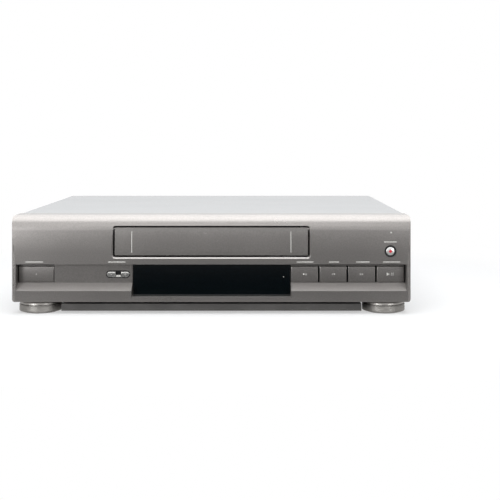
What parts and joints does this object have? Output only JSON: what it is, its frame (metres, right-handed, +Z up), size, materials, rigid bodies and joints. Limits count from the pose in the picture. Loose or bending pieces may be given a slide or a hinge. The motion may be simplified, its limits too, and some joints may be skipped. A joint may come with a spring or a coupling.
{
  "type": "video cassette recorder",
  "caption": "Front-loading video cassette recorder: grey front with a flap, display window and keys, sheet cover, round feet, rear sockets and a full tape deck.",
  "frame": {"origin": "centre of the footprint, on the floor under the foot pads", "axes": "+X to the right seen from the front, +Y from the front panel to the rear, +Z up; the front faces -Y"},
  "size_m": [0.4, 0.308, 0.099],
  "materials": {
    "panel_plastic": "satin metallic grey paint on moulded plastic",
    "key_plastic": "satin metallic grey paint",
    "silver_plastic": "satin silver",
    "black_plastic": "matt black",
    "window_acrylic": "deep gloss smoked acrylic",
    "lamp_plastic": "clear diffusing lens",
    "spring_steel": "drawn wire",
    "painted_sheet": "fine textured silver-grey paint",
    "screw_steel": "zinc plated",
    "rear_sheet": "satin grey paint on sheet steel",
    "plinth_plastic": "satin dark grey",
    "foot_silver": "turned, satin silver",
    "pad_rubber": "matt",
    "socket_plastic": "matt black",
    "plated_brass": "bright nickel plating",
    "tinned_steel": "tin plated",
    "circuit_board": "phenolic board",
    "chip_resin": "moulded resin",
    "core_steel": "varnished laminations",
    "heat_sink_aluminium": "mill finish",
    "capacitor_sleeve": "shrink sleeve",
    "tube_glass": "polished",
    "deck_steel": "zinc plated pressing",
    "moulded_plastic": "moulded, matt",
    "guide_steel": "ground and polished",
    "drum_aluminium": "turned, bright",
    "rotor_steel": "plated",
    "head_steel": "lapped",
    "bearing_brass": "sintered",
    "roller_rubber": "ground rubber",
    "gear_plastic": "natural acetal",
    "gear_brass": "cut brass",
    "holder_steel": "plated sheet"
  },
  "bodies": {
    "cabinet": {"front_panel": "panel_plastic", "display_window": "window_acrylic", "record_collar": "black_plastic", "indicator_light": "lamp_plastic", "flap_spring": "spring_steel", "bottom_tub": "black_plastic", "top_cover": "painted_sheet", "cover_screws": "screw_steel", "rear_panel": "rear_sheet", "plinth": "plinth_plastic", "front_feet": "foot_silver", "rear_feet": "black_plastic", "foot_pads": "pad_rubber", "scart_sockets": "socket_plastic", "aerial_sockets": "plated_brass", "mains_inlet": "socket_plastic", "tuner_box": "tinned_steel", "main_board": "circuit_board", "board_parts": "chip_resin", "power_board": "circuit_board", "transformer": "core_steel", "heat_sink": "heat_sink_aluminium", "capacitors": "capacitor_sleeve", "control_board": "circuit_board", "tact_switches": "black_plastic", "display_tube": "tube_glass", "deck_plate": "deck_steel", "deck_screws": "screw_steel", "guide_rails": "moulded_plastic", "lower_drum": "drum_aluminium", "erase_head": "head_steel", "audio_control_head": "head_steel", "capstan_bearing": "bearing_brass", "loading_motor": "rotor_steel", "housing_frames": "deck_steel"},
    "flap": {"cassette_flap": "panel_plastic"},
    "power_key": {"power_button": "key_plastic"},
    "stop_eject_key": {"stop_eject_button": "key_plastic"},
    "rewind_key": {"rewind_button": "key_plastic"},
    "forward_key": {"forward_button": "key_plastic"},
    "play_pause_key": {"play_pause_button": "key_plastic"},
    "channel_down_key": {"channel_down_button": "silver_plastic"},
    "channel_up_key": {"channel_up_button": "silver_plastic"},
    "record_key": {"record_button": "silver_plastic"},
    "carriage": {"loading_carriage": "moulded_plastic"},
    "holder": {"cassette_holder": "holder_steel"},
    "head_drum": {"upper_drum": "drum_aluminium", "drum_rotor": "rotor_steel"},
    "capstan_shaft": {"capstan": "guide_steel"},
    "pinch_lever": {"pinch_arm": "deck_steel"},
    "pinch_wheel": {"pinch_roller": "roller_rubber"},
    "tension_lever": {"tension_arm": "deck_steel"},
    "supply_table": {"supply_reel": "moulded_plastic"},
    "take_up_table": {"take_up_reel": "moulded_plastic"},
    "idler_lever": {"idler_arm": "moulded_plastic"},
    "idler_disc": {"idler_wheel": "roller_rubber"},
    "cam": {"cam_gear": "gear_plastic"},
    "pinion": {"motor_pinion": "gear_brass"},
    "left_guide": {"supply_guide": "guide_steel"},
    "right_guide": {"take_up_guide": "guide_steel"}
  },
  "joints": [
    {"name": "flap_hinge", "type": "hinge", "parent": "cabinet", "child": "flap", "pos_m": [0, -0.1503, 0.0851], "axis": [1, 0, 0], "range_deg": [0, 90], "stiffness_Nm_per_rad": 0.01, "springref_deg": -28.65, "deforming": ["flap_spring"]},
    {"name": "power_press", "type": "slide", "parent": "cabinet", "child": "power_key", "axis": [0, 1, 0], "range_m": [0, 0.0008], "stiffness_N_per_m": 400, "springref_m": -0.0008},
    {"name": "stop_eject_press", "type": "slide", "parent": "cabinet", "child": "stop_eject_key", "axis": [0, 1, 0], "range_m": [0, 0.0008], "stiffness_N_per_m": 400, "springref_m": -0.0008},
    {"name": "rewind_press", "type": "slide", "parent": "cabinet", "child": "rewind_key", "axis": [0, 1, 0], "range_m": [0, 0.0008], "stiffness_N_per_m": 400, "springref_m": -0.0008},
    {"name": "forward_press", "type": "slide", "parent": "cabinet", "child": "forward_key", "axis": [0, 1, 0], "range_m": [0, 0.0008], "stiffness_N_per_m": 400, "springref_m": -0.0008},
    {"name": "play_pause_press", "type": "slide", "parent": "cabinet", "child": "play_pause_key", "axis": [0, 1, 0], "range_m": [0, 0.0008], "stiffness_N_per_m": 400, "springref_m": -0.0008},
    {"name": "channel_down_press", "type": "slide", "parent": "cabinet", "child": "channel_down_key", "axis": [0, 1, 0], "range_m": [0, 0.0008], "stiffness_N_per_m": 400, "springref_m": -0.0008},
    {"name": "channel_up_press", "type": "slide", "parent": "cabinet", "child": "channel_up_key", "axis": [0, 1, 0], "range_m": [0, 0.0008], "stiffness_N_per_m": 400, "springref_m": -0.0008},
    {"name": "record_press", "type": "slide", "parent": "cabinet", "child": "record_key", "axis": [0, 1, 0], "range_m": [0, 0.0008], "stiffness_N_per_m": 400, "springref_m": -0.0008},
    {"name": "carriage_slide", "type": "slide", "parent": "cabinet", "child": "carriage", "axis": [0, 1, 0], "range_m": [-0.075, 0]},
    {"name": "holder_drop", "type": "slide", "parent": "carriage", "child": "holder", "axis": [0, 0, -1], "range_m": [0, 0.022]},
    {"name": "drum_spin", "type": "hinge", "parent": "cabinet", "child": "head_drum", "pos_m": [0, 0.035, 0.033], "axis": [0, -0.0872, 0.9962], "continuous": true},
    {"name": "capstan_spin", "type": "hinge", "parent": "cabinet", "child": "capstan_shaft", "pos_m": [0.058, 0.004, 0.026], "axis": [0, 0, 1], "continuous": true},
    {"name": "pinch_swing", "type": "hinge", "parent": "cabinet", "child": "pinch_lever", "pos_m": [0.074, 0.008, 0.0275], "axis": [0, 0, 1], "range_deg": [-35, 0]},
    {"name": "pinch_roller_spin", "type": "hinge", "parent": "pinch_lever", "child": "pinch_wheel", "pos_m": [0.07065, -0.00815, 0.0425], "axis": [0, 0, 1], "continuous": true},
    {"name": "tension_swing", "type": "hinge", "parent": "cabinet", "child": "tension_lever", "pos_m": [-0.076, 0.008, 0.0275], "axis": [0, 0, 1], "range_deg": [-8, 12]},
    {"name": "supply_reel_spin", "type": "hinge", "parent": "cabinet", "child": "supply_table", "pos_m": [-0.046, -0.06, 0.0275], "axis": [0, 0, 1], "continuous": true},
    {"name": "take_up_reel_spin", "type": "hinge", "parent": "cabinet", "child": "take_up_table", "pos_m": [0.046, -0.06, 0.0275], "axis": [0, 0, 1], "continuous": true},
    {"name": "idler_swing", "type": "hinge", "parent": "cabinet", "child": "idler_lever", "pos_m": [0, -0.075, 0.0275], "axis": [0, 0, 1], "range_deg": [-28, 28]},
    {"name": "idler_spin", "type": "hinge", "parent": "idler_lever", "child": "idler_disc", "pos_m": [0, -0.048, 0.0305], "axis": [0, 0, 1], "continuous": true},
    {"name": "cam_turn", "type": "hinge", "parent": "cabinet", "child": "cam", "pos_m": [-0.08, 0.062, 0.0287], "axis": [0, 0, 1], "range_deg": [0, 200]},
    {"name": "pinion_turn", "type": "hinge", "parent": "cabinet", "child": "pinion", "pos_m": [-0.05994, 0.0754, 0.0287], "axis": [0, 0, 1], "range_deg": [-801, 1]},
    {"name": "left_guide_slide", "type": "slide", "parent": "cabinet", "child": "left_guide", "axis": [-0.2026, 0.9793, 0], "range_m": [0, 0.0585]},
    {"name": "right_guide_slide", "type": "slide", "parent": "cabinet", "child": "right_guide", "axis": [0.2026, 0.9793, 0], "range_m": [0, 0.0585]}
  ],
  "couplings": [
    {"joint": "pinion_turn", "follows": "cam_turn", "ratio": -4},
    {"joint": "left_guide_slide", "follows": "cam_turn", "m_per_rad": 0.016616},
    {"joint": "right_guide_slide", "follows": "cam_turn", "m_per_rad": 0.016616}
  ]
}
